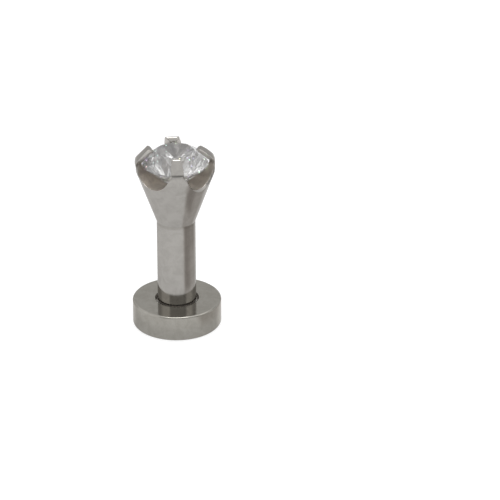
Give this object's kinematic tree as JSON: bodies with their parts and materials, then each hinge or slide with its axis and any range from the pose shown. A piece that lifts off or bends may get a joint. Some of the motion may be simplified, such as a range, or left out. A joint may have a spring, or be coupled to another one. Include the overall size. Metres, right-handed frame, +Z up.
{
  "type": "ear gauge plug",
  "caption": "Straight ear plug post that flares into a prong head holding a clear round faceted stone, with a thick round back disc that comes off for wear.",
  "frame": {"origin": "centre of the back disc's underside, which the plug stands on", "axes": "+Z up the post towards the stone, -Y towards the viewer of the picture"},
  "size_m": [0.0094, 0.0094, 0.0204],
  "materials": {
    "disc_steel": "turned and mirror polished",
    "post_steel": "turned and mirror polished, with unpolished brownish notch faces",
    "clear_stone": "cut and polished clear stone"
  },
  "bodies": {
    "back": {"back_disc": "disc_steel"},
    "plug": {"prong_post": "post_steel", "gemstone": "clear_stone"}
  },
  "joints": [
    {"name": "plug_unscrew", "type": "slide", "parent": "back", "child": "plug", "axis": [0, 0, 1], "range_m": [0, 0.014]}
  ]
}
